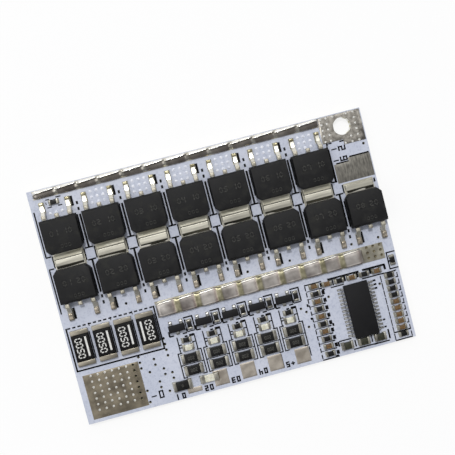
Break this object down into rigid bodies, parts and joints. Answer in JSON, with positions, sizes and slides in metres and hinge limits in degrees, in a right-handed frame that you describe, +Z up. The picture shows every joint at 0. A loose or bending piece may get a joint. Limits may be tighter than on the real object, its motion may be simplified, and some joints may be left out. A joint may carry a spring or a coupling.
{
  "type": "battery charger module",
  "caption": "Flat circuit board that charges and protects a battery pack: rows of power transistors, solder buses, shunts, a protection chip and wire pads.",
  "frame": {"origin": "centre of the board's underside", "axes": "+X along the long side, +Y towards the edge with the long solder bus, +Z up out of the parts' side"},
  "size_m": [0.06, 0.042, 0.0036],
  "materials": {
    "black_print": "printed ink",
    "capacitor_ceramic": "sintered ceramic",
    "led_lens": "pale cast resin",
    "moulded_body": "moulded epoxy, matte",
    "resistor_glaze": "black glaze",
    "shunt_coating": "black lacquer",
    "solder": "solder, bright and rippled",
    "tinned_copper": "hot-air levelled tin over copper",
    "tinned_ends": "tin-plated ends",
    "tinned_leads": "tin-plated copper",
    "white_board": "satin white solder mask on glass epoxy"
  },
  "bodies": {
    "root": {"balance_led_bodies": "led_lens", "balance_led_ends": "tinned_ends", "balance_transistor_bodies": "moulded_body", "balance_transistor_legs": "tinned_leads", "battery_negative_pad": "tinned_copper", "bleed_resistor_bodies": "resistor_glaze", "bleed_resistor_ends": "tinned_ends", "board_print": "black_print", "bus_lands": "tinned_copper", "cell_tap_pads": "tinned_copper", "charge_negative_pad": "tinned_copper", "chip_capacitor_bodies": "capacitor_ceramic", "chip_capacitor_ends": "tinned_ends", "chip_resistor_bodies": "resistor_glaze", "chip_resistor_ends": "tinned_ends", "circuit_board": "white_board", "current_shunt_1_body": "shunt_coating", "current_shunt_2_body": "shunt_coating", "current_shunt_3_body": "shunt_coating", "current_shunt_4_body": "shunt_coating", "current_shunt_ends": "tinned_ends", "filter_part_bodies": "resistor_glaze", "filter_part_ends": "tinned_ends", "load_negative_pad": "tinned_copper", "lower_solder_bus": "solder", "power_switch_01_body": "moulded_body", "power_switch_01_leadframe": "tinned_leads", "power_switch_02_body": "moulded_body", "power_switch_02_leadframe": "tinned_leads", "power_switch_03_body": "moulded_body", "power_switch_03_leadframe": "tinned_leads", "power_switch_04_body": "moulded_body", "power_switch_04_leadframe": "tinned_leads", "power_switch_05_body": "moulded_body", "power_switch_05_leadframe": "tinned_leads", "power_switch_06_body": "moulded_body", "power_switch_06_leadframe": "tinned_leads", "power_switch_07_body": "moulded_body", "power_switch_07_leadframe": "tinned_leads", "power_switch_08_body": "moulded_body", "power_switch_08_leadframe": "tinned_leads", "power_switch_09_body": "moulded_body", "power_switch_09_leadframe": "tinned_leads", "power_switch_10_body": "moulded_body", "power_switch_10_leadframe": "tinned_leads", "power_switch_11_body": "moulded_body", "power_switch_11_leadframe": "tinned_leads", "power_switch_12_body": "moulded_body", "power_switch_12_leadframe": "tinned_leads", "power_switch_13_body": "moulded_body", "power_switch_13_leadframe": "tinned_leads", "power_switch_14_body": "moulded_body", "power_switch_14_leadframe": "tinned_leads", "power_switch_15_body": "moulded_body", "power_switch_15_leadframe": "tinned_leads", "power_switch_lands": "tinned_copper", "protection_chip_body": "moulded_body", "protection_chip_leads": "tinned_leads", "upper_solder_bus": "solder"}
  },
  "joints": []
}
